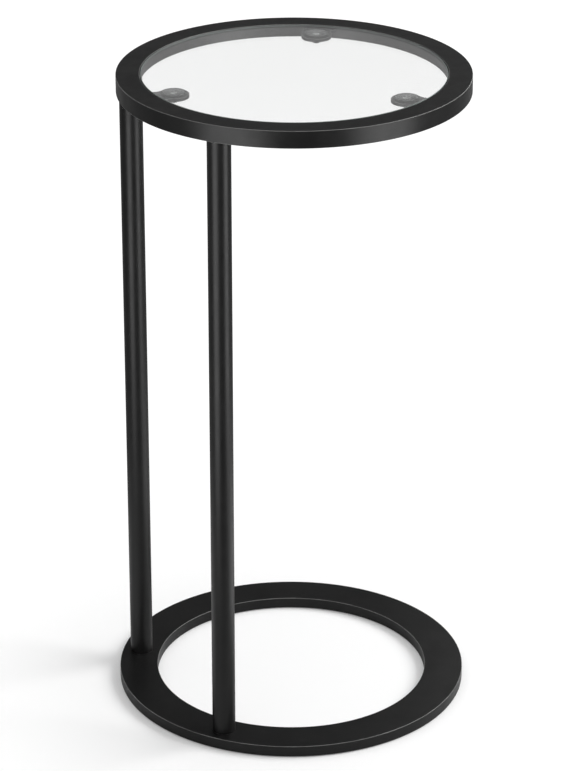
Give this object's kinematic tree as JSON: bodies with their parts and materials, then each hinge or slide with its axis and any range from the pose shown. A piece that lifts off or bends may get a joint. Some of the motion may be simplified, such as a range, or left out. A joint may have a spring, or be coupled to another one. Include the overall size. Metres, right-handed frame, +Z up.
{
  "type": "side table",
  "caption": "Round C-shaped side table with a flat ring base, slim round posts at one side and a ring top that holds a clear glass disc on soft cups.",
  "frame": {"origin": "middle of the base ring's outline, on the floor", "axes": "+Z up; the two posts stand on the -X side, and the open side of the C faces +X"},
  "size_m": [0.31, 0.31, 0.5718],
  "materials": {
    "frame": "black satin powder coat",
    "glass": "clear, polished edge",
    "cups": "soft clear grey vinyl",
    "pads": "dense black foam rubber",
    "zinc": "bright zinc plate",
    "screws": "black oxide"
  },
  "bodies": {
    "root": {"top_ring": "frame", "glass_top": "glass", "ear_post_side": "frame", "ear_right": "frame", "ear_left": "frame", "suction_cups": "cups", "post_left": "frame", "post_right": "frame", "base_ring": "frame", "floor_pads": "pads", "top_plugs": "zinc", "ring_nuts": "zinc", "studs": "zinc", "foot_plugs": "zinc", "base_screws": "screws"}
  },
  "joints": []
}
